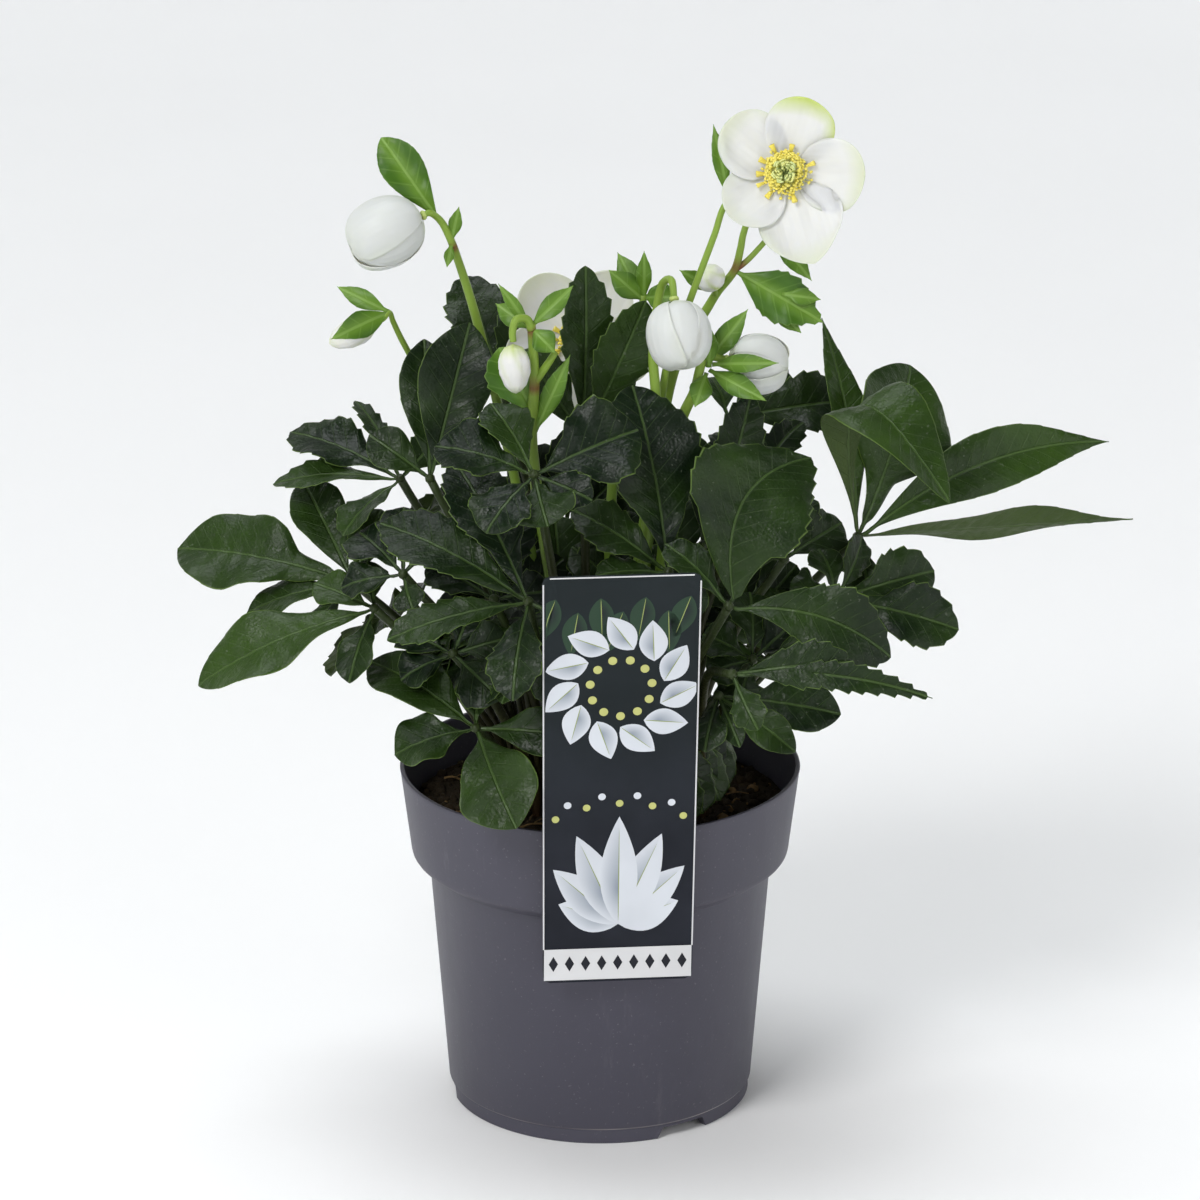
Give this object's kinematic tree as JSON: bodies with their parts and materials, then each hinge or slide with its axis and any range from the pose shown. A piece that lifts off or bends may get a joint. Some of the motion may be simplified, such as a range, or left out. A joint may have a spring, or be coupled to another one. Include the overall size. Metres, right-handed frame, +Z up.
{
  "type": "potted hellebore",
  "caption": "White-flowered hellebore with leathery, hand-shaped evergreen leaves, growing in a round plastic nursery pot with a printed plant label hooked over the rim.",
  "frame": {"origin": "on the pot's axis at the level that the pot stands on", "axes": "+Z up, -Y towards the side with the label, +X to the right as seen from the label side"},
  "size_m": [0.3361, 0.1863, 0.3616],
  "materials": {
    "pot": "satin moulded",
    "label": "printed, semi-gloss",
    "soil": "loose damp peat",
    "leaf": "waxy, semi-gloss",
    "stem": "satin",
    "sepal": "soft matte",
    "anther": "powdery"
  },
  "bodies": {
    "root": {"bud_hidden_a": "sepal", "bud_hidden_b": "sepal", "bud_left": "sepal", "bud_nodding": "sepal", "bud_small": "sepal", "flower_back_open": "sepal", "flower_left_bell": "sepal", "flower_nodding": "sepal", "flower_open": "sepal", "flower_right_cup": "sepal", "label": "label", "leaf_back_1": "leaf", "leaf_back_2": "leaf", "leaf_back_3": "leaf", "leaf_back_4": "leaf", "leaf_back_5": "leaf", "leaf_back_6": "leaf", "leaf_back_left": "leaf", "leaf_back_mid": "leaf", "leaf_back_right": "leaf", "leaf_broad": "leaf", "leaf_deep_mid": "leaf", "leaf_far_left": "leaf", "leaf_far_right": "leaf", "leaf_front_left": "leaf", "leaf_high_left": "leaf", "leaf_inner_far_left": "leaf", "leaf_inner_left": "leaf", "leaf_inner_right": "leaf", "leaf_low_left": "leaf", "leaf_low_mid_left": "leaf", "leaf_low_mid_right": "leaf", "leaf_low_right": "leaf", "leaf_mid": "leaf", "leaf_mid_back": "leaf", "leaf_right": "leaf", "leaf_rim_left": "leaf", "leaf_rim_right": "leaf", "leaf_rolled": "leaf", "leaf_top_left": "leaf", "leaf_whorl": "leaf", "pot": "pot", "soil": "soil", "stamens_back_open": "anther", "stamens_open": "anther", "stem_arching": "stem", "stem_back": "stem", "stem_bracts": "stem", "stem_front": "stem", "stem_leafy": "stem", "stem_left": "stem", "stem_nodding": "stem", "stem_short": "stem", "stem_tall": "stem"}
  },
  "joints": []
}
